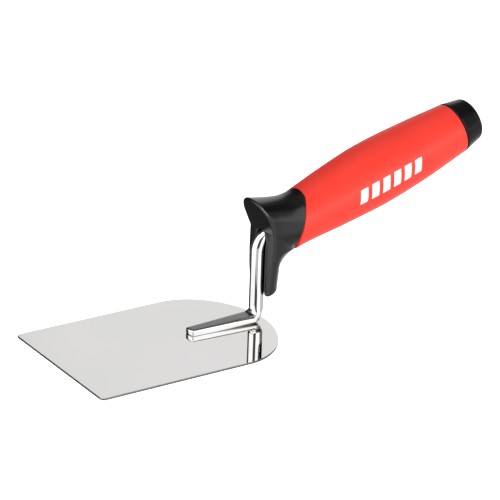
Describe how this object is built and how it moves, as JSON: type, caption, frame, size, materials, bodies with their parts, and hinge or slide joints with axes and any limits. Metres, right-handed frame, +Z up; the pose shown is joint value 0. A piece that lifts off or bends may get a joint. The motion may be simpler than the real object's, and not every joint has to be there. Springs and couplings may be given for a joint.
{
  "type": "plastering trowel",
  "caption": "Flat plastering trowel: thin polished blade with a rounded rear on a cranked steel shank, with a soft-grip handle, thumb rest and finger guard.",
  "frame": {"origin": "middle of the blade's underside, halfway along its length and on its midline", "axes": "+X from the blade towards the handle's butt, +Y across the blade, +Z up from the blade towards the handle"},
  "size_m": [0.2347, 0.08, 0.0925],
  "materials": {
    "polished_steel": "polished",
    "shank_steel": "polished",
    "black_plastic": "satin",
    "red_soft_grip": "matte"
  },
  "bodies": {
    "root": {"blade": "polished_steel", "shank": "shank_steel", "handle_core": "black_plastic", "grip_sleeve": "red_soft_grip", "end_cap": "black_plastic"}
  },
  "joints": []
}
